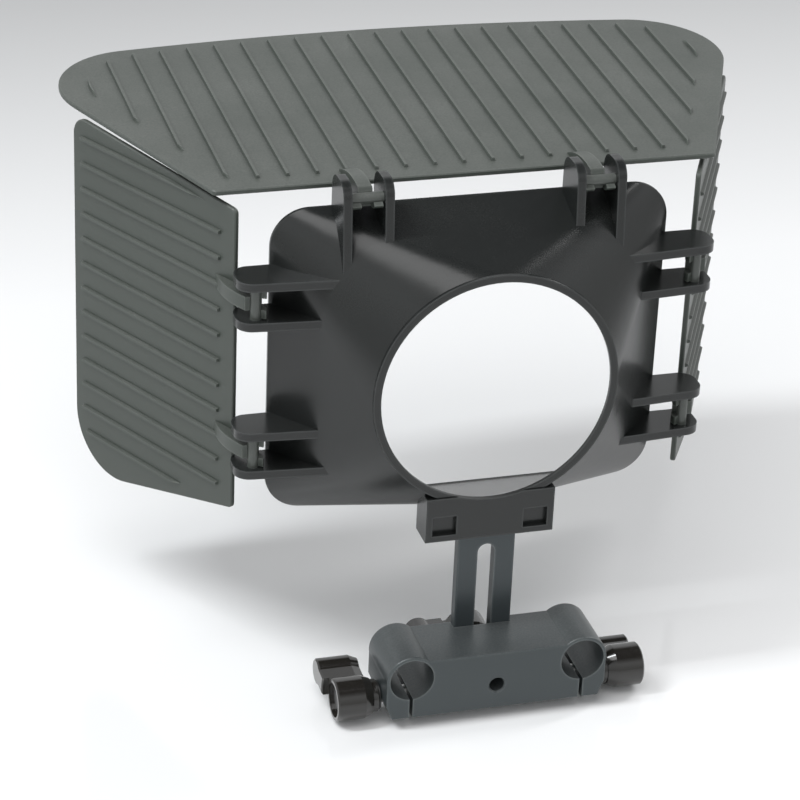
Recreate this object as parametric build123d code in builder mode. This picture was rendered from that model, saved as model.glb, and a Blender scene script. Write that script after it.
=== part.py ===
from build123d import *
from math import cos, radians, sin
import os

# A camera shade (matte box) with three hinged flags, on a height-adjustable post and a clamp for two
# camera support rods. Millimetres. The origin is midway between the rod axes on the clamp's rear face;
# +Y points forward to the subject, +Z up and +X to the right as seen from behind the camera.

# Rods and fits
rod_radius = 7.5  # standard 15 mm support rods
rod_spacing = 60.0
rod_clearance = 0.05  # radial, before the clamp is tightened
screw_clearance = 0.05  # radial, round every stud and screw
hinge_clearance = 0.08  # radial, clip jaw on hinge pin
press_clearance = 0.0  # hinge pin in its ears
face_gap = 0.1  # between flat faces that slide or turn on each other

# Studs of the three knobs
stud_radius = 2.5

# Rod clamp
clamp_depth = 23.2
clamp_jaw_wall = 1.05  # side face beyond each bore
clamp_shoulder = 0.95  # flat top below the top of each bore
boss_wall = 1.15  # round each rod bore
clamp_screw_wall = 0.55  # between each bore and the stud below it
clamp_floor = 4.4  # bottom face below the axis of those studs
bevel_width = 2.2
bevel_height = 5.5
slit_width = 1.2
clamp_screw_y = 10.0
clamp_screw_past = 3.85  # how far the stud goes past the bore
accessory_hole_radius = 2.55  # 1/4-20 tapping size
accessory_hole_depth = 7.0
accessory_chamfer = 0.5
hole_web = 2.6  # metal between the accessory hole and the lock stud's hole
clamp_edge = 0.6

# Post and its lock
post_width = 20.0
post_thickness = 4.2
post_proud = 0.2  # post's front face ahead of the clamp's
post_lift = 0.5  # post's lower end above the clamp's bottom
slot_play = 0.5  # at each side of the lock stud
slot_below = 3.0  # centre of the slot's lower round end below the lock stud
slot_bridge = 6.8  # centre of its upper round end below the foot
lock_screw_z = -6.0

# Shade moulding
axis_z = 95.6  # height of the lens axis over the rods
collar_bore = 39.25  # radius of the lens opening
collar_wall = 2.6
collar_lip = 1.2  # straight part of the bore
collar_length = 6.0
wall = 2.5
rim_width = 136.9
rim_height = 109.8
rim_corner = 13.0
shade_depth = 36.1  # rear face of the collar to the front face of the rim
rim_depth = 1.2
seam_flat = 0.5  # short straight stretch that matches the round end to the square end

# Foot under the collar, measured from the lowest point of the lens opening
foot_half_width = 22.3
foot_rear_wall = 1.8  # behind the post
foot_front_wall = 4.6  # in front of the post
foot_step = 0.6  # foot's rear face behind the collar's
foot_height = 14.55
foot_overlap = 1.65
post_roof = 3.35  # foot left between the post and the lens opening
recess_inner_wall = 1.6  # between the post's socket and each recess
recess_outer_wall = 2.3
recess_margin = 2.2  # above the foot's bottom
recess_height = 7.0
recess_depth = 2.0
foot_screw_x = 6.0
foot_screw_rise = 4.2  # above the foot's bottom
foot_screw_radius = 1.5
foot_screw_rim = 1.25  # head beyond the shank
foot_screw_head_height = 1.6
foot_screw_length = 7.0

# Hinge brackets
hinge_back = 12.5  # pin axis behind the shade's front face
hinge_out = 7.2  # pin axis outside the rim's surface
pin_radius = 1.8
pin_socket = 2.0  # depth of the pin in each ear
ear_gap = 11.0
ear_thickness = 3.0
ear_reach = 6.2  # ear past the pin axis
ear_back = 3.4  # ear's rear edge behind the pin axis, at the tip
ear_back_base = 6.4  # and at the root
ear_front_back = 2.1  # ear's front edge behind the shade's front face
ear_root = 22.0  # how far the ear runs inwards from the rim's surface
ear_round = 5.4
top_bracket_left = -40.0
top_bracket_right = 38.8
side_bracket_above = 28.1  # side brackets over and under the lens axis
side_bracket_below = 25.9

# Flags
plate_thickness = 1.8
plate_offset = -2.5  # middle of the plate from the pin axis, outwards positive
arm_width = 4.8
arm_run = 9.0  # how far each arm runs up the plate
arm_crest = 4.0  # over the plate's outer face, just short of the hinge edge
jaw_wall = 1.72  # jaw round the pin
jaw_side_gap = 0.4  # between the jaw and each ear
jaw_split = 4.2  # between the two lower fingers
jaw_upper = 60.0  # end of the upper finger, degrees from the arm's direction
jaw_lower = -150.0  # end of the lower fingers
plate_edge = 0.35
rib_width = 1.5
rib_height = 1.0
rib_taper = 16.0
rib_pitch = 10.0
rib_edge_margin = 4.5
rib_hinge_margin = 7.0

top_tilt = 2.9  # top flag above the forward direction, degrees
top_edge = 15.7  # pin axis to the plate's hinge edge
top_length = 109.8
top_overhang = 17.65  # hinge edge beyond each side of the rim
top_flare = 47.4  # how much farther the front corners go
top_bow = 11.1
top_corner = 30.0
top_rib_side_margin = 10.2  # measured square to the slanting side

side_tilt = 27.1  # side flags out from the forward direction, degrees
side_edge = 12.6
side_length = 84.6
side_hinge_inset = 1.5  # hinge edge above the bottom of the rim
side_hinge_overhang = 0.9  # and above its top
side_front_drop = 20.0  # front edge below the bottom of the rim
side_front_rise = 7.3  # and above its top
side_corner_low = 21.0
side_corner_high = 6.0
side_rib_overhang = 0.1  # highest rib above the top of the rim
side_rib_pitch = 9.25
side_rib_low_margin = 4.8
side_rib_high_margin = 2.6
hinge_corner = 2.0

# Wing knobs and their studs
knob_body_radius = 7.4
knob_lobe = 4.6  # radius of the wing's round end
knob_reach = 16.5  # knob axis to the centre of that round end
knob_neck = 6.8  # width of the wing between its end and the body
knob_blend = 1.2
knob_length = 9.6  # straight part of the body
knob_taper_length = 3.0  # part next to the hub, which narrows
knob_taper = 24.0
knob_hub_length = 1.8
knob_hub_wall = 3.1  # hub round the stud
wing_proud = 1.8  # wing's end beyond the body's
knob_edge = 0.5
knob_rim = 1.5
knob_recess = 1.2
stud_head_step = 1.1  # stud's head beyond its shank
stud_head_length = 6.0
cap_thickness = 1.2
washer_rim = 2.5  # washer beyond the stud
washer_thickness = 1.0
left_knob_turn = 86.0  # wing from straight up, turned left as seen from the knob's end
right_knob_turn = -103.0
lock_knob_turn = -90.0

os.makedirs("parts", exist_ok=True)

# Clamp, post and foot
rod_bore = rod_radius + rod_clearance
rod_x = rod_spacing / 2
boss_radius = rod_bore + boss_wall
clamp_side = rod_x + rod_bore + clamp_jaw_wall  # half width
clamp_top = rod_bore - clamp_shoulder
clamp_screw_z = -(rod_bore + clamp_screw_wall + stud_radius)
clamp_screw_reach = 2 * rod_bore + clamp_jaw_wall + clamp_screw_past
clamp_bottom = clamp_screw_z - clamp_floor
post_y = clamp_depth + post_proud - post_thickness
channel_y = post_y - face_gap
lock_hole_depth = channel_y - accessory_hole_depth - hole_web
bore_floor = axis_z - collar_bore
foot_bottom = bore_floor - foot_height
foot_top = bore_floor + foot_overlap
foot_y = post_y - foot_rear_wall
foot_depth = foot_rear_wall + post_thickness + foot_front_wall
post_bottom = clamp_bottom + post_lift
post_top = bore_floor - post_roof
slot_low = lock_screw_z - slot_below
slot_high = foot_bottom - slot_bridge
slot_width = 2 * (stud_radius + slot_play)
recess_inner = post_width / 2 + face_gap + recess_inner_wall
recess_outer = foot_half_width - recess_outer_wall
foot_screw_z = foot_bottom + foot_screw_rise
foot_screw_head = foot_screw_radius + foot_screw_rim

# Shade, brackets and flags
collar_y = foot_y + foot_step
collar_radius = collar_bore + collar_wall
rim_y = collar_y + shade_depth
rim_top = axis_z + rim_height / 2
rim_bottom = axis_z - rim_height / 2
rim_side = rim_width / 2
hinge_y = rim_y - hinge_back
ear_rear = hinge_y - ear_back
ear_rear_base = hinge_y - ear_back_base
ear_front = rim_y - ear_front_back
side_bracket_high = axis_z + side_bracket_above
side_bracket_low = axis_z - side_bracket_below
jaw_radius = pin_radius + hinge_clearance + jaw_wall
jaw_width = ear_gap - 2 * jaw_side_gap
top_hinge_half = rim_side + top_overhang
top_front_half = top_hinge_half + top_flare
top_rib_count = 2 * int((top_front_half - top_corner / 2) / rib_pitch) + 1
side_hinge_low = rim_bottom + side_hinge_inset
side_hinge_high = rim_top + side_hinge_overhang
side_front_low = rim_bottom - side_front_drop
side_front_high = rim_top + side_front_rise
side_rib_first = rim_top + side_rib_overhang
side_rib_count = round((side_rib_first - side_front_low) / side_rib_pitch)
forward = (0, 1, 0)


def at_y(y):
    """A sketch plane across the lens axis, with X to the right and Z up."""
    return Plane.XZ.offset(-y)


def save(piece, name):
    piece.part.label = name
    export_step(piece.part, f"parts/{name}.step")


# ---------------------------------------------------------------------------------------------------
# Rod clamp: one extruded block with a thin round boss over each rod and a slit under it.
with BuildPart() as clamp_block:
    with BuildSketch(at_y(0)):
        with BuildLine():
            Polyline(
                (-clamp_side + bevel_width, clamp_bottom),
                (clamp_side - bevel_width, clamp_bottom),
                (clamp_side, clamp_bottom + bevel_height),
                (clamp_side, 0),
                (rod_x, 0),
                (rod_x, clamp_top),
                (-rod_x, clamp_top),
                (-rod_x, 0),
                (-clamp_side, 0),
                (-clamp_side, clamp_bottom + bevel_height),
                close=True,
            )
        make_face()
        with Locations((-rod_x, 0), (rod_x, 0)):
            Circle(boss_radius)
    extrude(amount=-clamp_depth)
    fillet(clamp_block.edges().filter_by(Axis.Y, reverse=True), clamp_edge)
    with BuildSketch(at_y(0)):
        with Locations((-rod_x, 0), (rod_x, 0)):
            Circle(rod_bore)
        with Locations((-rod_x, clamp_bottom / 2), (rod_x, clamp_bottom / 2)):
            Rectangle(slit_width, -clamp_bottom)
    extrude(amount=-clamp_depth, mode=Mode.SUBTRACT)
    with BuildSketch(Plane.XY.offset(clamp_bottom)):
        with Locations((0, (channel_y + clamp_depth) / 2)):
            Rectangle(post_width + 2 * face_gap, clamp_depth - channel_y)
    extrude(amount=clamp_top - clamp_bottom, mode=Mode.SUBTRACT)
    for side in (-1, 1):
        with BuildSketch(Plane.YZ.offset(side * clamp_side)):
            with Locations((clamp_screw_y, clamp_screw_z)):
                Circle(stud_radius + screw_clearance)
        extrude(amount=-side * (clamp_screw_reach + 1), mode=Mode.SUBTRACT)
    with BuildSketch(at_y(channel_y)):
        with Locations((0, lock_screw_z)):
            Circle(stud_radius + screw_clearance)
    extrude(amount=lock_hole_depth, mode=Mode.SUBTRACT)
    with BuildSketch(at_y(0)):
        with Locations((0, lock_screw_z)):
            Circle(accessory_hole_radius)
    extrude(amount=-accessory_hole_depth, mode=Mode.SUBTRACT)
    mouth = clamp_block.faces().filter_by(Plane.XZ).sort_by(Axis.Y)[0]
    chamfer(mouth.edges().filter_by(GeomType.CIRCLE).sort_by(SortBy.RADIUS)[0], accessory_chamfer)
save(clamp_block, "clamp_block")


# ---------------------------------------------------------------------------------------------------
# Post: a flat steel bar with one long slot for the lock screw.
with BuildPart() as post:
    with BuildSketch(at_y(post_y)):
        with Locations((0, (post_bottom + post_top) / 2)):
            Rectangle(post_width, post_top - post_bottom)
        with Locations((0, (slot_low + slot_high) / 2)):
            SlotCenterToCenter(slot_high - slot_low, slot_width, rotation=90, mode=Mode.SUBTRACT)
    extrude(amount=-post_thickness)
    fillet(post.edges().filter_by(Axis.Z).group_by(SortBy.LENGTH)[-1], 0.5)
    with BuildSketch(at_y(post_y + post_thickness)):
        with Locations((-foot_screw_x, foot_screw_z), (foot_screw_x, foot_screw_z)):
            Circle(foot_screw_radius + screw_clearance)
    extrude(amount=post_thickness - 1, mode=Mode.SUBTRACT)
save(post, "post")


# ---------------------------------------------------------------------------------------------------
# Shade: collar, square-to-round funnel, front rim, foot and twelve hinge ears in one moulding.
def bracket_plane(centre, along):
    """Local X runs forward, local Y outwards from the rim, local Z along the hinge pin."""
    return Plane(origin=centre, x_dir=forward, z_dir=along)


bracket_planes = {
    "top_left": bracket_plane((top_bracket_left, 0, rim_top), (1, 0, 0)),
    "top_right": bracket_plane((top_bracket_right, 0, rim_top), (1, 0, 0)),
    "left_upper": bracket_plane((-rim_side, 0, side_bracket_high), (0, 0, 1)),
    "left_lower": bracket_plane((-rim_side, 0, side_bracket_low), (0, 0, 1)),
    "right_upper": bracket_plane((rim_side, 0, side_bracket_high), (0, 0, -1)),
    "right_lower": bracket_plane((rim_side, 0, side_bracket_low), (0, 0, -1)),
}


def funnel_ends(radius, inset):
    """The round and the square end of the funnel, both made of eight matching edges."""
    with BuildSketch(at_y(collar_y + collar_lip)) as round_end:
        with Locations((0, axis_z)):
            RectangleRounded(2 * radius, 2 * radius, radius - seam_flat / 2)
    with BuildSketch(at_y(rim_y - rim_depth)) as square_end:
        with Locations((0, axis_z)):
            RectangleRounded(rim_width - 2 * inset, rim_height - 2 * inset, rim_corner - inset)
    return round_end.sketch, square_end.sketch


with BuildPart() as funnel_outside:
    loft(funnel_ends(collar_radius, 0))
    with BuildSketch(at_y(rim_y - rim_depth)):
        with Locations((0, axis_z)):
            RectangleRounded(rim_width, rim_height, rim_corner)
    extrude(amount=-rim_depth)
    with BuildSketch(at_y(collar_y)):
        with Locations((0, axis_z)):
            Circle(collar_radius)
    extrude(amount=-collar_length)

with BuildPart() as funnel_inside:
    loft(funnel_ends(collar_bore, wall))
    with BuildSketch(at_y(rim_y - rim_depth)):
        with Locations((0, axis_z)):
            RectangleRounded(rim_width - 2 * wall, rim_height - 2 * wall, rim_corner - wall)
    extrude(amount=-rim_depth - 1)
    with BuildSketch(at_y(collar_y - 1)):
        with Locations((0, axis_z)):
            Circle(collar_bore)
    extrude(amount=-collar_length - 1)

with BuildPart() as shade_body:
    add(funnel_outside.part)
    with BuildSketch(at_y(foot_y)):
        with Locations((0, (foot_bottom + foot_top) / 2)):
            Rectangle(2 * foot_half_width, foot_top - foot_bottom)
    extrude(amount=-foot_depth)
    for plane in bracket_planes.values():
        for shift in (-ear_gap / 2 - ear_thickness, ear_gap / 2):
            with BuildSketch(plane.offset(shift)):
                with BuildLine():
                    Polyline(
                        (ear_rear_base, -ear_root),
                        (ear_rear, hinge_out + ear_reach),
                        (ear_front, hinge_out + ear_reach),
                        (ear_front, -ear_root),
                        close=True,
                    )
                ear = make_face()
                fillet(ear.vertices().group_by(Axis.Y)[-1], ear_round)
            extrude(amount=ear_thickness)
    add(funnel_inside.part, mode=Mode.SUBTRACT)
    for plane in bracket_planes.values():
        with BuildSketch(plane.offset(-ear_gap / 2 - pin_socket)):
            with Locations((hinge_y, hinge_out)):
                Circle(pin_radius + press_clearance)
        extrude(amount=ear_gap + 2 * pin_socket, mode=Mode.SUBTRACT)
    with BuildSketch(at_y(foot_y)):
        for side in (-1, 1):
            recess_x = side * (recess_inner + recess_outer) / 2
            with Locations((recess_x, foot_bottom + recess_margin + recess_height / 2)):
                Rectangle(recess_outer - recess_inner, recess_height)
    extrude(amount=-recess_depth, mode=Mode.SUBTRACT)
    with BuildSketch(Plane.XY.offset(foot_bottom)):
        with Locations((0, post_y + post_thickness / 2)):
            Rectangle(post_width + 2 * face_gap, post_thickness + 2 * face_gap)
    extrude(amount=post_top + face_gap - foot_bottom, mode=Mode.SUBTRACT)
    with BuildSketch(at_y(foot_y + foot_depth)):
        with Locations((-foot_screw_x, foot_screw_z), (foot_screw_x, foot_screw_z)):
            Circle(foot_screw_radius + screw_clearance)
    extrude(amount=foot_depth - post_y + foot_y - post_thickness / 2, mode=Mode.SUBTRACT)
save(shade_body, "shade_body")


# ---------------------------------------------------------------------------------------------------
# Two small screws that hold the post in the foot.
with BuildPart() as foot_screws:
    with BuildSketch(at_y(foot_y + foot_depth)):
        with Locations((-foot_screw_x, foot_screw_z), (foot_screw_x, foot_screw_z)):
            Circle(foot_screw_radius)
    extrude(amount=foot_screw_length)
    with BuildSketch(at_y(foot_y + foot_depth)):
        with Locations((-foot_screw_x, foot_screw_z), (foot_screw_x, foot_screw_z)):
            Circle(foot_screw_head)
    extrude(amount=-foot_screw_head_height)
    for side in (-1, 1):
        with BuildSketch(at_y(foot_y + foot_depth + foot_screw_head_height)):
            with Locations((side * foot_screw_x, foot_screw_z)):
                RegularPolygon(1.15, 6)
        extrude(amount=1, mode=Mode.SUBTRACT)
save(foot_screws, "foot_screws")


# ---------------------------------------------------------------------------------------------------
# Hinge pins: one moulded into each pair of ears.
def hinge_pins(names, name):
    with BuildPart() as pins:
        for key in names:
            with BuildSketch(bracket_planes[key].offset(-ear_gap / 2 - pin_socket)):
                with Locations((hinge_y, hinge_out)):
                    Circle(pin_radius)
            extrude(amount=ear_gap + 2 * pin_socket)
    save(pins, name)


hinge_pins(["top_left", "top_right"], "top_hinge_pins")
hinge_pins(["left_upper", "left_lower"], "left_hinge_pins")
hinge_pins(["right_upper", "right_lower"], "right_hinge_pins")


# ---------------------------------------------------------------------------------------------------
# Flags. Each is laid out on a plane through its hinge pins: local X runs from the pins along the
# plate, local Y points outwards from the shade and local Z runs along the pins.
plate_low = plate_offset - plate_thickness / 2
plate_high = plate_offset + plate_thickness / 2


def flag_frame(pin, outward, along, tilt):
    run = cos(radians(tilt)) * Vector(forward) + sin(radians(tilt)) * Vector(outward)
    return Plane(origin=pin, x_dir=run, z_dir=along)


def plate_plane(frame, height):
    """The plane of the plate itself: local X runs along the plate and local Y against the pins."""
    return Plane(
        origin=frame.from_local_coords(Vector(0, height, 0)),
        x_dir=frame.x_dir,
        z_dir=frame.y_dir,
    )


def hinge_arm(frame, centre, edge):
    """One humped arm, with a jaw that snaps round the pin: one finger above it and two below."""
    with BuildPart() as arm:
        with BuildSketch(frame.offset(centre - arm_width / 2)):
            with BuildLine():
                Polyline(
                    (jaw_radius / 2, jaw_radius * 0.8),
                    (jaw_radius / 2, plate_low),
                    (edge + arm_run, plate_low),
                    (edge + arm_run, plate_high),
                )
                ThreePointArc(
                    (edge + arm_run, plate_high),
                    (edge - 1, plate_high + arm_crest),
                    (jaw_radius / 2, jaw_radius * 0.8),
                )
            make_face()
            Circle(pin_radius + hinge_clearance, mode=Mode.SUBTRACT)
        extrude(amount=arm_width)
        for first, last, width, start in (
            (-60, jaw_upper, arm_width, -arm_width / 2),
            (-75, -15, jaw_width, -jaw_width / 2),
            (jaw_lower, -15, (jaw_width - jaw_split) / 2, -jaw_width / 2),
            (jaw_lower, -15, (jaw_width - jaw_split) / 2, jaw_split / 2),
        ):
            with BuildSketch(frame.offset(centre + start)):
                inner = pin_radius + hinge_clearance
                with BuildLine():
                    outer_arc = CenterArc((0, 0), jaw_radius, first, last - first)
                    inner_arc = CenterArc((0, 0), inner, first, last - first)
                    Line(outer_arc @ 0, inner_arc @ 0)
                    Line(outer_arc @ 1, inner_arc @ 1)
                make_face()
            extrude(amount=width)
    return arm.part


def top_outline(hinge_margin, side_margin, front_margin):
    """Half of the top flag's shape is mirrored about its middle; margins are for the ribbed area."""
    slope = (top_front_half - top_hinge_half) / top_length
    start = top_edge + hinge_margin
    end = top_edge + top_length - front_margin
    half_start = top_hinge_half + slope * hinge_margin - side_margin
    half_end = top_front_half - slope * front_margin - side_margin
    with BuildSketch() as outline:
        with BuildLine():
            Line((start, -half_start), (end, -half_end))
            ThreePointArc((end, -half_end), (end + top_bow, 0), (end, half_end))
            Polyline((end, half_end), (start, half_start), (start, -half_start))
        make_face()
        corners = outline.vertices().group_by(Axis.X)
        fillet(corners[-1], top_corner - min(side_margin, front_margin))
        fillet(outline.vertices().group_by(Axis.X)[0], hinge_corner)
    return outline.sketch


top_frame = flag_frame((0, hinge_y, rim_top + hinge_out), (0, 0, 1), (1, 0, 0), top_tilt)
top_arms = [hinge_arm(top_frame, x, top_edge) for x in (top_bracket_left, top_bracket_right)]
with BuildPart() as top_flag:
    with BuildSketch(plate_plane(top_frame, plate_low)):
        add(top_outline(0, 0, 0))
    extrude(amount=plate_thickness)
    chamfer(top_flag.faces().sort_by(SortBy.AREA)[-2:].edges(), plate_edge)
    with BuildSketch(plate_plane(top_frame, plate_high)):
        add(top_outline(rib_hinge_margin, top_rib_side_margin, rib_edge_margin))
        with BuildSketch(mode=Mode.INTERSECT):
            with Locations((top_edge + top_length / 2, 0)):
                with GridLocations(1, rib_pitch, 1, top_rib_count):
                    Rectangle(2 * top_length, rib_width)
    extrude(amount=rib_height, taper=rib_taper)
    add(top_arms)
save(top_flag, "top_flag")


def side_outline(hinge_margin, low_margin, high_margin, front_margin):
    low_slope = (side_front_low - side_hinge_low) / side_length
    high_slope = (side_front_high - side_hinge_high) / side_length
    start = side_edge + hinge_margin
    end = side_edge + side_length - front_margin
    low_start = side_hinge_low + low_slope * hinge_margin + low_margin - axis_z
    low_end = side_front_low - low_slope * front_margin + low_margin - axis_z
    high_start = side_hinge_high + high_slope * hinge_margin - high_margin - axis_z
    high_end = side_front_high - high_slope * front_margin - high_margin - axis_z
    with BuildSketch() as outline:
        with BuildLine():
            Polyline(
                (start, -high_start),
                (end, -high_end),
                (end, -low_end),
                (start, -low_start),
                close=True,
            )
        make_face()
        fillet(outline.vertices().group_by(Axis.X)[-1].sort_by(Axis.Y)[-1], side_corner_low - low_margin)
        fillet(outline.vertices().group_by(Axis.X)[-1].sort_by(Axis.Y)[0], side_corner_high - high_margin)
        fillet(outline.vertices().group_by(Axis.X)[0], hinge_corner)
    return outline.sketch


left_frame = flag_frame(
    (-rim_side - hinge_out, hinge_y, axis_z), (-1, 0, 0), (0, 0, 1), side_tilt
)
left_arms = [
    hinge_arm(left_frame, height - axis_z, side_edge)
    for height in (side_bracket_low, side_bracket_high)
]
with BuildPart() as left_flag:
    with BuildSketch(plate_plane(left_frame, plate_low)):
        add(side_outline(0, 0, 0, 0))
    extrude(amount=plate_thickness)
    chamfer(left_flag.faces().sort_by(SortBy.AREA)[-2:].edges(), plate_edge)
    with BuildSketch(plate_plane(left_frame, plate_high)):
        add(side_outline(rib_hinge_margin, side_rib_low_margin, side_rib_high_margin, rib_edge_margin))
        with BuildSketch(mode=Mode.INTERSECT):
            ribs_middle = side_rib_first - (side_rib_count - 1) * side_rib_pitch / 2 - axis_z
            with Locations((side_edge + side_length / 2, -ribs_middle)):
                with GridLocations(1, side_rib_pitch, 1, side_rib_count):
                    Rectangle(2 * side_length, rib_width)
    extrude(amount=rib_height, taper=rib_taper)
    add(left_arms)
save(left_flag, "left_flag")

with BuildPart() as right_flag:
    mirror(left_flag.part, about=Plane.YZ)
save(right_flag, "right_flag")


# ---------------------------------------------------------------------------------------------------
# Wing knobs, each a round body with one wing. Each stands on a seat plane whose local Z points out
# along its stud and whose local Y is the direction of straight up; the washer, hub and body are
# stacked on it in that order.
stud_head_radius = stud_radius + stud_head_step
knob_hub_radius = stud_radius + knob_hub_wall
washer_radius = stud_radius + washer_rim
hub_start = face_gap + washer_thickness + face_gap
body_start = hub_start + knob_hub_length + knob_taper_length
body_end = body_start + knob_length
recess_floor = body_end - knob_recess
head_end = recess_floor - cap_thickness
head_start = head_end - stud_head_length


def wing_outline(turn):
    """The wing alone: a neck from the knob's axis to the round end."""
    angle = 90 + turn
    tip = (knob_reach * cos(radians(angle)), knob_reach * sin(radians(angle)))
    with BuildSketch() as outline:
        with Locations((tip[0] / 2, tip[1] / 2)):
            Rectangle(knob_reach, knob_neck, rotation=angle)
        with Locations(tip):
            Circle(knob_lobe)
    return outline.sketch


def knob_outline(turn):
    with BuildSketch() as outline:
        Circle(knob_body_radius)
        add(wing_outline(turn))
        fillet(outline.edges().filter_by(GeomType.LINE).vertices(), knob_blend)
    return outline.sketch


def knob_set(seat, turn, stud_tip, prefix):
    outline = knob_outline(turn)
    with BuildPart() as knob:
        with BuildSketch(seat.offset(hub_start)):
            Circle(knob_hub_radius)
        extrude(amount=knob_hub_length + knob_taper_length)
        with BuildSketch(seat.offset(body_start)):
            add(outline)
        extrude(amount=knob_length)
        with BuildSketch(seat.offset(body_start)):
            add(outline)
        extrude(amount=-knob_taper_length, taper=knob_taper)
        end_face = knob.faces().sort_by(Axis(seat.origin, seat.z_dir))[-1]
        chamfer(end_face.outer_wire().edges(), knob_edge)
        with BuildSketch(seat.offset(body_end - wing_proud)):
            add(outline)
            Circle(knob_body_radius + knob_blend, mode=Mode.SUBTRACT)
        extrude(amount=2 * wing_proud)
        end_face = knob.faces().sort_by(Axis(seat.origin, seat.z_dir))[-1]
        chamfer(end_face.outer_wire().edges(), knob_edge)
        with BuildSketch(seat.offset(body_end)):
            Circle(knob_body_radius - knob_rim)
        extrude(amount=-knob_recess, mode=Mode.SUBTRACT)
        with BuildSketch(seat.offset(recess_floor)):
            Circle(stud_head_radius + press_clearance)
        extrude(amount=head_start - recess_floor, mode=Mode.SUBTRACT)
        with BuildSketch(seat.offset(hub_start)):
            Circle(stud_radius + press_clearance)
        extrude(amount=head_start - hub_start, mode=Mode.SUBTRACT)
    save(knob, f"{prefix}_knob")

    with BuildPart() as stud:
        with BuildSketch(seat.offset(head_start)):
            Circle(stud_head_radius)
        extrude(amount=stud_head_length)
        with BuildSketch(seat.offset(head_start)):
            Circle(stud_radius)
        extrude(amount=-stud_tip - head_start)
        chamfer(stud.edges().filter_by(GeomType.CIRCLE).sort_by(Axis(seat.origin, seat.z_dir))[0], 0.6)
    save(stud, f"{prefix}_stud")

    with BuildPart() as cap:
        with BuildSketch(seat.offset(head_end)):
            Circle(stud_head_radius)
        extrude(amount=cap_thickness)
    save(cap, f"{prefix}_cap")

    with BuildPart() as washer:
        with BuildSketch(seat.offset(face_gap)):
            Circle(washer_radius)
            Circle(stud_radius + screw_clearance, mode=Mode.SUBTRACT)
        extrude(amount=washer_thickness)
        chamfer(washer.edges().filter_by(GeomType.CIRCLE).group_by(SortBy.RADIUS)[-1], 0.3)
    save(washer, f"{prefix}_washer")


left_seat = Plane(origin=(-clamp_side, clamp_screw_y, clamp_screw_z), x_dir=(0, -1, 0), z_dir=(-1, 0, 0))
right_seat = Plane(origin=(clamp_side, clamp_screw_y, clamp_screw_z), x_dir=(0, 1, 0), z_dir=(1, 0, 0))
lock_seat = Plane(origin=(0, post_y + post_thickness, lock_screw_z), x_dir=(-1, 0, 0), z_dir=(0, 1, 0))
lock_reach = post_y + post_thickness - channel_y + lock_hole_depth - 0.5
knob_set(left_seat, left_knob_turn, clamp_screw_reach, "left")
knob_set(right_seat, right_knob_turn, clamp_screw_reach, "right")
knob_set(lock_seat, lock_knob_turn, lock_reach, "lock")
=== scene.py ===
import math

import bpy
from mathutils import Matrix, Vector


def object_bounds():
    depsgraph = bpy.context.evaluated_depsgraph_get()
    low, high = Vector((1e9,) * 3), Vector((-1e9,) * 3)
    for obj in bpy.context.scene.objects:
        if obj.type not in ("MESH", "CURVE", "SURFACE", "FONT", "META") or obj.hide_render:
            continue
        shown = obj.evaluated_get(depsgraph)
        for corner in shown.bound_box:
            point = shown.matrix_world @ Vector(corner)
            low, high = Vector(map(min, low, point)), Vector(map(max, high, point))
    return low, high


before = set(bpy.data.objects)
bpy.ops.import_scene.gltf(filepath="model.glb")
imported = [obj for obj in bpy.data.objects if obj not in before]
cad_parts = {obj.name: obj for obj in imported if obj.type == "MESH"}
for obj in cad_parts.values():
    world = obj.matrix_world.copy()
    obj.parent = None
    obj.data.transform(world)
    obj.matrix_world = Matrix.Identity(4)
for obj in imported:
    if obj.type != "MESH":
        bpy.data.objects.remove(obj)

cad_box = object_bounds()

# ------------------------------------------------------------------------------------------------
# Camera. It stands behind the shade, to its left and above it, and leans over by two and a half
# degrees. Its lens is long, so the flags hardly narrow as they run away from it.
AZIMUTH = math.radians(-17.24)
DOWN = math.radians(27.11)
LEAN = math.radians(2.53)
STAND = (-0.2852, -0.7947, 0.5318)
LENS = 133.3
FILM_WIDTH = 36
NEAREST = 0.01
FARTHEST = 20

forward = Vector((
    -math.sin(AZIMUTH) * math.cos(DOWN),
    math.cos(AZIMUTH) * math.cos(DOWN),
    -math.sin(DOWN),
))
level = Vector((math.cos(AZIMUTH), math.sin(AZIMUTH), 0))
upright = level.cross(forward)
across = level * math.cos(LEAN) + upright * math.sin(LEAN)
over = upright * math.cos(LEAN) - level * math.sin(LEAN)
turned = Matrix((across, over, -forward)).transposed().to_4x4()

camera_data = bpy.data.cameras.new("camera")
camera_data.lens = LENS
camera_data.sensor_width = FILM_WIDTH
camera_data.clip_start = NEAREST
camera_data.clip_end = FARTHEST
camera = bpy.data.objects.new("camera", camera_data)
bpy.context.collection.objects.link(camera)
camera.matrix_world = Matrix.Translation(STAND) @ turned
bpy.context.scene.camera = camera
bpy.context.scene.view_settings.view_transform = "Standard"


# ------------------------------------------------------------------------------------------------
# Studio: a pale, slightly glossy floor, its colour darkened to grey far behind the object as
# painted shade where the light falls off, in a room whose grey walls run up through a white cove
# to a dark ceiling. A wide soft light hangs high between the camera and the object, and a strip
# light on each side draws the long highlights.
FLOOR_SIZE = 9
FLOOR_MIDDLE_Y = 1.5
FLOOR_HEIGHT = cad_box[0][2] - 0.0001
FADE_START_Y = -0.05
FADE_END_Y = 0.75
ROOM_BRIGHTNESS = 0.9


def new_material(name):
    """A material with only its shader and output; returns it with its node tree and shader."""
    material = bpy.data.materials.new(name)
    material.use_nodes = True
    tree = material.node_tree
    tree.nodes.clear()
    shader = tree.nodes.new("ShaderNodeBsdfPrincipled")
    output = tree.nodes.new("ShaderNodeOutputMaterial")
    tree.links.new(shader.outputs["BSDF"], output.inputs["Surface"])
    return material, tree, shader


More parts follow.
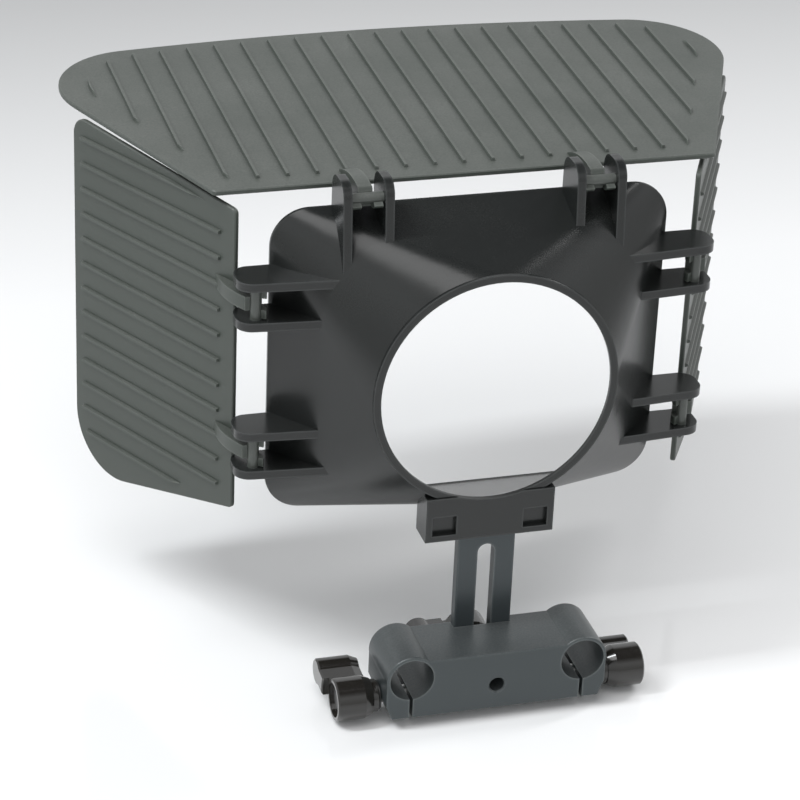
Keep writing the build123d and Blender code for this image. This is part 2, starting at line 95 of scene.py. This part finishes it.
def set_ramp(ramp, first, middle, last):
    """Gives a colour ramp three stops, each a place along it and a colour."""
    ends = ramp.elements
    ends[0].position = first[0]
    ends[0].color = (*first[1], 1)
    ends[1].position = last[0]
    ends[1].color = (*last[1], 1)
    ends.new(middle[0]).color = (*middle[1], 1)


def soft_light(name, place, target, size, watts, tint=(1, 1, 1)):
    """An oblong lamp at a place, turned to face its target."""
    data = bpy.data.lights.new(name, "AREA")
    data.shape = "RECTANGLE"
    data.size, data.size_y = size
    data.energy = watts
    data.color = tint
    light = bpy.data.objects.new(name, data)
    light.location = place
    light.rotation_euler = (Vector(target) - Vector(place)).to_track_quat("-Z", "Y").to_euler()
    bpy.context.collection.objects.link(light)


bpy.ops.mesh.primitive_plane_add(size=FLOOR_SIZE, location=(0, FLOOR_MIDDLE_Y, FLOOR_HEIGHT))
floor = bpy.context.object
floor.name = "floor"
floor_material, floor_tree, floor_shader = new_material("floor_paper")
place = floor_tree.nodes.new("ShaderNodeTexCoord")
split = floor_tree.nodes.new("ShaderNodeSeparateXYZ")
fade = floor_tree.nodes.new("ShaderNodeMapRange")
fade.inputs["From Min"].default_value = FADE_START_Y - FLOOR_MIDDLE_Y
fade.inputs["From Max"].default_value = FADE_END_Y - FLOOR_MIDDLE_Y
# The floor's colour runs from near white to grey far away: painted shade for the light falling off
# behind the object.
painted_floor_shade = floor_tree.nodes.new("ShaderNodeValToRGB")
set_ramp(
    painted_floor_shade.color_ramp,
    first=(0.0, (0.98, 0.98, 0.98)),
    middle=(0.5, (0.93, 0.93, 0.93)),
    last=(1.0, (0.55, 0.55, 0.55)),
)
floor_tree.links.new(place.outputs["Object"], split.inputs["Vector"])
floor_tree.links.new(split.outputs["Y"], fade.inputs["Value"])
floor_tree.links.new(fade.outputs["Result"], painted_floor_shade.inputs["Fac"])
floor_tree.links.new(painted_floor_shade.outputs["Color"], floor_shader.inputs["Base Color"])
floor_shader.inputs["Roughness"].default_value = 0.1
floor_shader.inputs["IOR"].default_value = 1.4
floor.data.materials.append(floor_material)

world = bpy.data.worlds.new("white_room")
world.use_nodes = True
room = world.node_tree
direction = room.nodes.new("ShaderNodeTexCoord")
height = room.nodes.new("ShaderNodeSeparateXYZ")
walls = room.nodes.new("ShaderNodeValToRGB")
set_ramp(
    walls.color_ramp,
    first=(0.1, (0.70, 0.71, 0.71)),
    middle=(0.55, (0.97, 0.985, 1.0)),
    last=(0.85, (0.06, 0.06, 0.07)),
)
room.links.new(direction.outputs["Generated"], height.inputs["Vector"])
room.links.new(height.outputs["Z"], walls.inputs["Fac"])
room.links.new(walls.outputs["Color"], room.nodes["Background"].inputs["Color"])
room.nodes["Background"].inputs["Strength"].default_value = ROOM_BRIGHTNESS
bpy.context.scene.world = world

soft_light(
    "overhead",
    place=(-0.3, -0.35, 1.25),
    target=(0.02, 0.06, 0.1),
    size=(0.9, 0.7),
    watts=6.0,
)
soft_light(
    "strip_right",
    place=(0.85, 0.3, 0.85),
    target=(0.02, 0.03, 0.08),
    size=(0.12, 0.6),
    watts=3.2,
)
soft_light(
    "strip_left",
    place=(-0.75, 0.05, 1.1),
    target=(-0.04, 0.03, 0.08),
    size=(0.14, 0.6),
    watts=8.0,
    tint=(0.95, 0.98, 1),
)


# ------------------------------------------------------------------------------------------------
# What every finish is made from: three small node groups for the grain, the rubbed edges and the
# settled dust, and one function that joins them into a material.
CLOUD_SCALE = 22.0
FLECK_SCALE = 420.0
EDGE_REACH = 0.0007
EDGE_WEAR = 0.6
LEAST_WEAR = 0.25
WEAR_SCALE = 160.0
DUST_PATCH_SCALE = 35.0
DUST_SPECK_SCALE = 1500.0
DUST_COLOUR = (0.55, 0.54, 0.52)
DUST_ROUGHNESS = 0.5
SURFACE_IOR = 1.5


def new_group(name, label, outputs):
    """A node group with one number input and the named outputs, and its two end nodes."""
    group = bpy.data.node_groups.new(name, "ShaderNodeTree")
    group.interface.new_socket(label, in_out="INPUT", socket_type="NodeSocketFloat")
    for output in outputs:
        group.interface.new_socket(output, in_out="OUTPUT", socket_type="NodeSocketFloat")
    return group, group.nodes.new("NodeGroupInput"), group.nodes.new("NodeGroupOutput")


def set_or_link(tree, value, socket):
    """Puts a number straight on a socket, or joins another node's output to it."""
    if isinstance(value, (int, float)):
        socket.default_value = value
    else:
        tree.links.new(value, socket)


def math_node(tree, operation, a, b):
    """One sum on two numbers or outputs."""
    node = tree.nodes.new("ShaderNodeMath")
    node.operation = operation
    set_or_link(tree, a, node.inputs[0])
    set_or_link(tree, b, node.inputs[1])
    return node.outputs[0]


def noise_node(tree, coordinates, scale, detail, rough):
    """Noise that runs from 0 to 1 about a half."""
    node = tree.nodes.new("ShaderNodeTexNoise")
    node.inputs["Detail"].default_value = detail
    node.inputs["Roughness"].default_value = rough
    tree.links.new(coordinates, node.inputs["Vector"])
    set_or_link(tree, scale, node.inputs["Scale"])
    return node.outputs["Fac"]


def make_surface_group():
    """Fine grain for the bump, broad clouds for colour and gloss, and flecks for gloss."""
    group, ins, outs = new_group("surface_grain", "Grain Scale", ["Height", "Cloud", "Fleck"])
    coords = group.nodes.new("ShaderNodeTexCoord").outputs["Object"]
    fine = noise_node(group, coords, ins.outputs["Grain Scale"], detail=3, rough=0.6)
    cloud = noise_node(group, coords, CLOUD_SCALE, detail=4, rough=0.55)
    fleck = noise_node(group, coords, FLECK_SCALE, detail=2, rough=0.7)
    group.links.new(fine, outs.inputs["Height"])
    group.links.new(cloud, outs.inputs["Cloud"])
    group.links.new(fleck, outs.inputs["Fleck"])
    return group


def make_edge_group():
    """A mask that is strongest on outer edges, broken up so that the wear looks uneven."""
    group, ins, outs = new_group("rubbed_edge", "Amount", ["Mask"])
    hidden = group.nodes.new("ShaderNodeAmbientOcclusion")
    hidden.inside = True
    hidden.only_local = True
    hidden.samples = 4
    hidden.inputs["Distance"].default_value = EDGE_REACH
    coords = group.nodes.new("ShaderNodeTexCoord").outputs["Object"]
    broken = noise_node(group, coords, WEAR_SCALE, detail=4, rough=0.65)
    edge = math_node(group, "SUBTRACT", 1.0, hidden.outputs["AO"])
    worn = math_node(group, "MULTIPLY", edge, math_node(group, "ADD", broken, LEAST_WEAR))
    wear = math_node(group, "MULTIPLY", worn, ins.outputs["Amount"])
    clamped = group.nodes.new("ShaderNodeClamp")
    group.links.new(wear, clamped.inputs["Value"])
    group.links.new(clamped.outputs["Result"], outs.inputs["Mask"])
    return group


def make_dust_group():
    """A mask of specks in patches, on the faces that look up."""
    group, ins, outs = new_group("settled_dust", "Amount", ["Mask"])
    facing = group.nodes.new("ShaderNodeNewGeometry").outputs["Normal"]
    parts = group.nodes.new("ShaderNodeSeparateXYZ")
    group.links.new(facing, parts.inputs["Vector"])
    coords = group.nodes.new("ShaderNodeTexCoord").outputs["Object"]
    patches = noise_node(group, coords, DUST_PATCH_SCALE, detail=5, rough=0.6)
    specks = noise_node(group, coords, DUST_SPECK_SCALE, detail=1, rough=0.5)
    upward = math_node(group, "MAXIMUM", parts.outputs["Z"], 0.0)
    patchy = math_node(group, "MULTIPLY", upward, patches)
    thick = math_node(group, "MULTIPLY", patchy, specks)
    mask = math_node(group, "MULTIPLY", thick, ins.outputs["Amount"])
    group.links.new(mask, outs.inputs["Mask"])
    return group


surface_group = make_surface_group()
edge_group = make_edge_group()
dust_group = make_dust_group()


def group_node(tree, group, value):
    """One of the groups above, with its input set."""
    node = tree.nodes.new("ShaderNodeGroup")
    node.node_tree = group
    node.inputs[0].default_value = value
    return node


def mix_colour(tree, amount, first, second):
    """A colour between two, each a colour or another node's output."""
    node = tree.nodes.new("ShaderNodeMix")
    node.data_type = "RGBA"
    for label, value in (("Factor", amount), ("A", first), ("B", second)):
        socket = [s for s in node.inputs if s.name == label and s.enabled][0]
        if isinstance(value, tuple):
            socket.default_value = (*value, 1)
        else:
            tree.links.new(value, socket)
    return [s for s in node.outputs if s.enabled][0]


def finish_material(
    name,
    dark,
    light,
    worn,
    rough,
    spread,
    grain,
    grain_scale=2600.0,
    bump_strength=0.35,
    dust_amount=0.25,
    metallic=0.0,
    coat=0.0,
    coat_rough=0.2,
):
    """A satin or metal finish: clouded colour, rubbed edges, dust on top, fine grain as bump."""
    material, tree, shader = new_material(name)
    surface = group_node(tree, surface_group, grain_scale)
    edge = group_node(tree, edge_group, EDGE_WEAR)
    dust = group_node(tree, dust_group, dust_amount)
    colour = mix_colour(tree, surface.outputs["Cloud"], dark, light)
    colour = mix_colour(tree, edge.outputs["Mask"], colour, worn)
    colour = mix_colour(tree, dust.outputs["Mask"], colour, DUST_COLOUR)
    tree.links.new(colour, shader.inputs["Base Color"])

    # Both noises lie about a half, so the roughness lies about the value that is asked for.
    clouded = math_node(tree, "MULTIPLY", surface.outputs["Cloud"], 2 * spread)
    flecked = math_node(tree, "MULTIPLY", surface.outputs["Fleck"], spread)
    uneven = math_node(tree, "ADD", clouded, flecked)
    base_rough = math_node(tree, "ADD", uneven, rough - 1.5 * spread)
    dusty = math_node(tree, "MULTIPLY", dust.outputs["Mask"], DUST_ROUGHNESS)
    tree.links.new(math_node(tree, "ADD", base_rough, dusty), shader.inputs["Roughness"])

    bump = tree.nodes.new("ShaderNodeBump")
    bump.inputs["Strength"].default_value = bump_strength
    bump.inputs["Distance"].default_value = grain
    tree.links.new(surface.outputs["Height"], bump.inputs["Height"])
    tree.links.new(bump.outputs["Normal"], shader.inputs["Normal"])
    shader.inputs["Metallic"].default_value = metallic
    shader.inputs["IOR"].default_value = SURFACE_IOR
    shader.inputs["Coat Weight"].default_value = coat
    shader.inputs["Coat Roughness"].default_value = coat_rough
    return material


def coat_nodes(material, *names):
    """Gives the named pieces one material each."""
    for name in names:
        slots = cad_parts[name].data.materials
        slots.clear()
        slots.append(material)


# ------------------------------------------------------------------------------------------------
# Flags: three thin mouldings in dark grey-green satin plastic, ribbed on their outer faces. The
# mould leaves a very fine spark texture, and the rims and rib tops are rubbed a little paler.
flag_finish = finish_material(
    "flag_plastic",
    dark=(0.040, 0.048, 0.040),
    light=(0.056, 0.066, 0.057),
    worn=(0.20, 0.22, 0.20),
    rough=0.42,
    spread=0.06,
    grain=30e-6,
)
coat_nodes(flag_finish, "top_flag", "left_flag", "right_flag")

# ------------------------------------------------------------------------------------------------
# Shade: collar, funnel, foot and hinge ears in one near-black satin moulding, smoother than the
# flags, so that broad soft highlights run down its corners.
shade_finish = finish_material(
    "shade_plastic",
    dark=(0.009, 0.010, 0.010),
    light=(0.015, 0.017, 0.016),
    worn=(0.12, 0.13, 0.13),
    rough=0.25,
    spread=0.04,
    grain=12e-6,
    dust_amount=0.03,
)
coat_nodes(shade_finish, "shade_body")

# ------------------------------------------------------------------------------------------------
# Hinge pins: plain plastic bars between the shade's ears. Their colour is painted paler than the
# shade's, a painted highlight for the sheen along the bars, and their edges are rubbed paler
# still.
pin_finish = finish_material(
    "pin_plastic",
    dark=(0.05, 0.055, 0.05),
    light=(0.09, 0.10, 0.09),
    worn=(0.25, 0.26, 0.25),
    rough=0.3,
    spread=0.05,
    grain=10e-6,
)
coat_nodes(pin_finish, "top_hinge_pins", "left_hinge_pins", "right_hinge_pins")

# ------------------------------------------------------------------------------------------------
# Rod clamp: an aluminium block, bead blasted and then anodised dark grey, so its sheen is soft and
# its grain is finer than the plastic's.
clamp_finish = finish_material(
    "clamp_anodised",
    dark=(0.045, 0.055, 0.058),
    light=(0.062, 0.073, 0.076),
    worn=(0.34, 0.37, 0.36),
    rough=0.34,
    spread=0.05,
    grain=25e-6,
    grain_scale=4200.0,
    metallic=0.35,
    coat=0.1,
)
coat_nodes(clamp_finish, "clamp_block")

# ------------------------------------------------------------------------------------------------
# Post: a flat slotted bar with a dark grey coat, a little smoother and darker than the clamp. Its
# edges show paler metal where it slides.
post_finish = finish_material(
    "post_coat",
    dark=(0.040, 0.050, 0.054),
    light=(0.058, 0.068, 0.072),
    worn=(0.38, 0.40, 0.40),
    rough=0.30,
    spread=0.05,
    grain=20e-6,
    grain_scale=3600.0,
    metallic=0.3,
)
coat_nodes(post_finish, "post")

# ------------------------------------------------------------------------------------------------
# Wing knobs: glossy black plastic mouldings, the shiniest pieces here. Handling keeps the dust off
# them, and a thin clear gloss sharpens their highlights.
knob_finish = finish_material(
    "knob_gloss",
    dark=(0.008, 0.007, 0.005),
    light=(0.013, 0.011, 0.009),
    worn=(0.05, 0.05, 0.045),
    rough=0.14,
    spread=0.03,
    grain=3e-6,
    bump_strength=0.15,
    dust_amount=0.05,
    coat=0.5,
    coat_rough=0.05,
)
coat_nodes(knob_finish, "left_knob", "right_knob", "lock_knob")

# ------------------------------------------------------------------------------------------------
# Caps: black plastic discs over the studs' heads, duller than the knobs around them.
cap_finish = finish_material(
    "cap_gloss",
    dark=(0.012, 0.012, 0.012),
    light=(0.02, 0.02, 0.02),
    worn=(0.06, 0.06, 0.06),
    rough=0.3,
    spread=0.05,
    grain=6e-6,
)
coat_nodes(cap_finish, "left_cap", "right_cap", "lock_cap")

# ------------------------------------------------------------------------------------------------
# Studs: bright plated steel, moulded into the knobs.
stud_finish = finish_material(
    "stud_plate",
    dark=(0.50, 0.51, 0.50),
    light=(0.62, 0.62, 0.60),
    worn=(0.75, 0.75, 0.74),
    rough=0.3,
    spread=0.06,
    grain=10e-6,
    metallic=1.0,
)
coat_nodes(stud_finish, "left_stud", "right_stud", "lock_stud")

# ------------------------------------------------------------------------------------------------
# Washers: loose blackened steel rings under the knobs, rubbed to paler metal at their edges.
washer_finish = finish_material(
    "washer_black",
    dark=(0.03, 0.03, 0.03),
    light=(0.05, 0.05, 0.05),
    worn=(0.30, 0.30, 0.29),
    rough=0.32,
    spread=0.06,
    grain=10e-6,
    metallic=0.9,
)
coat_nodes(washer_finish, "left_washer", "right_washer", "lock_washer")

# ------------------------------------------------------------------------------------------------
# Foot screws: blackened steel. They hold the post, and only their heads show, on the front of
# the foot.
screw_finish = finish_material(
    "screw_black",
    dark=(0.02, 0.02, 0.02),
    light=(0.035, 0.035, 0.035),
    worn=(0.2, 0.2, 0.2),
    rough=0.35,
    spread=0.06,
    grain=10e-6,
    metallic=0.8,
)
coat_nodes(screw_finish, "foot_screws")
